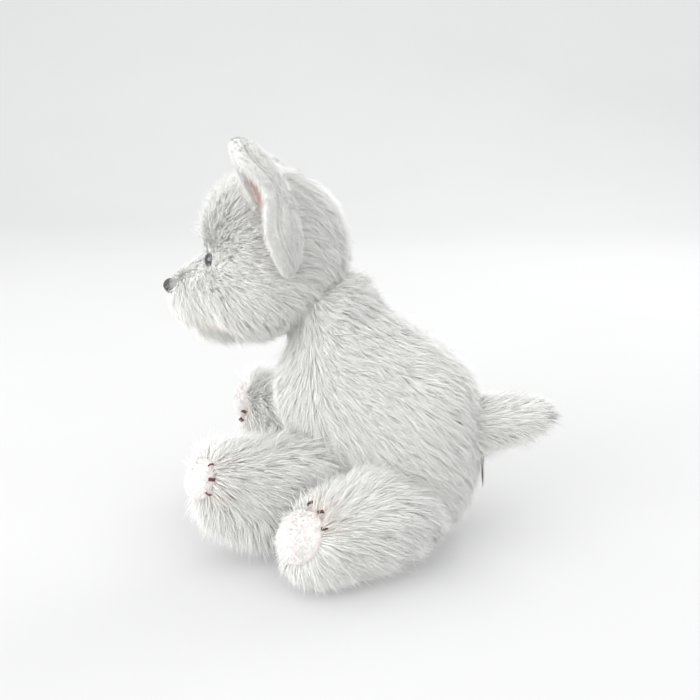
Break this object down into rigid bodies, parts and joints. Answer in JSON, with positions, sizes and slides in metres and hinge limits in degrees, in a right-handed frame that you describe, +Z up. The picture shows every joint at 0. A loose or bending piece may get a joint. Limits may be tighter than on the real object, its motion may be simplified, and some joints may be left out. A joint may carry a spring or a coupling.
{
  "type": "plush dog",
  "caption": "Seated plush terrier puppy in long white fur fabric, with upright pink-lined ears, bead eyes, a moulded nose, stitched toes and a short tail.",
  "frame": {"origin": "on the surface the toy sits on, under the middle of its bounding box", "axes": "the toy faces -Y, its left side is +X and +Z is up"},
  "size_m": [0.1388, 0.1669, 0.1684],
  "materials": {
    "long_pile": "long silky pile",
    "short_pile": "short velvety pile",
    "ear_lining": "short pile, pink towards the middle",
    "stuffing": "loose fibre filling",
    "pellets": "woven bag of pellets",
    "label": "satin ribbon, blank",
    "black_gloss": "moulded, polished",
    "washer": "moulded",
    "thread": "twisted thread"
  },
  "bodies": {
    "torso": {"torso_panel_left": "long_pile", "torso_panel_right": "long_pile", "belly_panel": "long_pile", "torso_stuffing": "stuffing", "pellet_bag": "pellets", "care_label": "label"},
    "neck": {"neck_panel": "long_pile", "neck_stuffing": "stuffing"},
    "head": {"head_panel_left": "long_pile", "head_panel_right": "long_pile", "head_gusset": "long_pile", "chin_panel": "long_pile", "head_stuffing": "stuffing", "eye_left": "black_gloss", "eye_right": "black_gloss", "eye_washer_left": "washer", "eye_washer_right": "washer", "nose": "black_gloss", "nose_washer": "washer", "mouth_stitch": "thread"},
    "ear_left": {"ear_back_left": "short_pile", "ear_lining_left": "ear_lining"},
    "ear_right": {"ear_back_right": "short_pile", "ear_lining_right": "ear_lining"},
    "front_leg_left": {"front_leg_left": "long_pile", "front_sole_left": "short_pile", "front_toe_stitches_left": "thread", "front_stuffing_left": "stuffing"},
    "front_leg_right": {"front_leg_right": "long_pile", "front_sole_right": "short_pile", "front_toe_stitches_right": "thread", "front_stuffing_right": "stuffing"},
    "hind_leg_left": {"hind_leg_left": "long_pile", "hind_sole_left": "short_pile", "hind_toe_stitches_left": "thread", "hind_stuffing_left": "stuffing"},
    "hind_leg_right": {"hind_leg_right": "long_pile", "hind_sole_right": "short_pile", "hind_toe_stitches_right": "thread", "hind_stuffing_right": "stuffing"},
    "tail": {"tail_panel": "long_pile", "tail_stuffing": "stuffing"}
  },
  "joints": [
    {"name": "neck_nod", "type": "hinge", "parent": "torso", "child": "neck", "pos_m": [0, -0.017, 0.097], "axis": [1, 0, 0], "range_deg": [-12, 12], "stiffness_Nm_per_rad": 0.3, "springref_deg": -1.72},
    {"name": "head_turn", "type": "hinge", "parent": "neck", "child": "head", "pos_m": [0, -0.017, 0.097], "axis": [0, -0.515, 0.8572], "range_deg": [-30, 30], "stiffness_Nm_per_rad": 0.15},
    {"name": "ear_left_flop", "type": "hinge", "parent": "head", "child": "ear_left", "pos_m": [0.035, -0.023, 0.1175], "axis": [0, 1, 0], "range_deg": [0, 25], "stiffness_Nm_per_rad": 0.02},
    {"name": "ear_right_flop", "type": "hinge", "parent": "head", "child": "ear_right", "pos_m": [-0.035, -0.023, 0.1175], "axis": [0, -1, 0], "range_deg": [0, 25], "stiffness_Nm_per_rad": 0.02},
    {"name": "front_leg_left_lift", "type": "hinge", "parent": "torso", "child": "front_leg_left", "pos_m": [0.024, -0.019, 0.037], "axis": [-1, 0, 0], "range_deg": [-5, 30]},
    {"name": "front_leg_right_lift", "type": "hinge", "parent": "torso", "child": "front_leg_right", "pos_m": [-0.024, -0.019, 0.04], "axis": [-1, 0, 0], "range_deg": [-15, 15]},
    {"name": "hind_leg_left_lift", "type": "hinge", "parent": "torso", "child": "hind_leg_left", "pos_m": [0.033, 0.017, 0.02], "axis": [-1, 0, 0], "range_deg": [-4, 12]},
    {"name": "hind_leg_right_lift", "type": "hinge", "parent": "torso", "child": "hind_leg_right", "pos_m": [-0.033, 0.017, 0.02], "axis": [-1, 0, 0], "range_deg": [-4, 12]},
    {"name": "tail_wag", "type": "hinge", "parent": "torso", "child": "tail", "pos_m": [0, 0.048, 0.051], "axis": [0, 0, 1], "range_deg": [-25, 25], "stiffness_Nm_per_rad": 0.02}
  ]
}
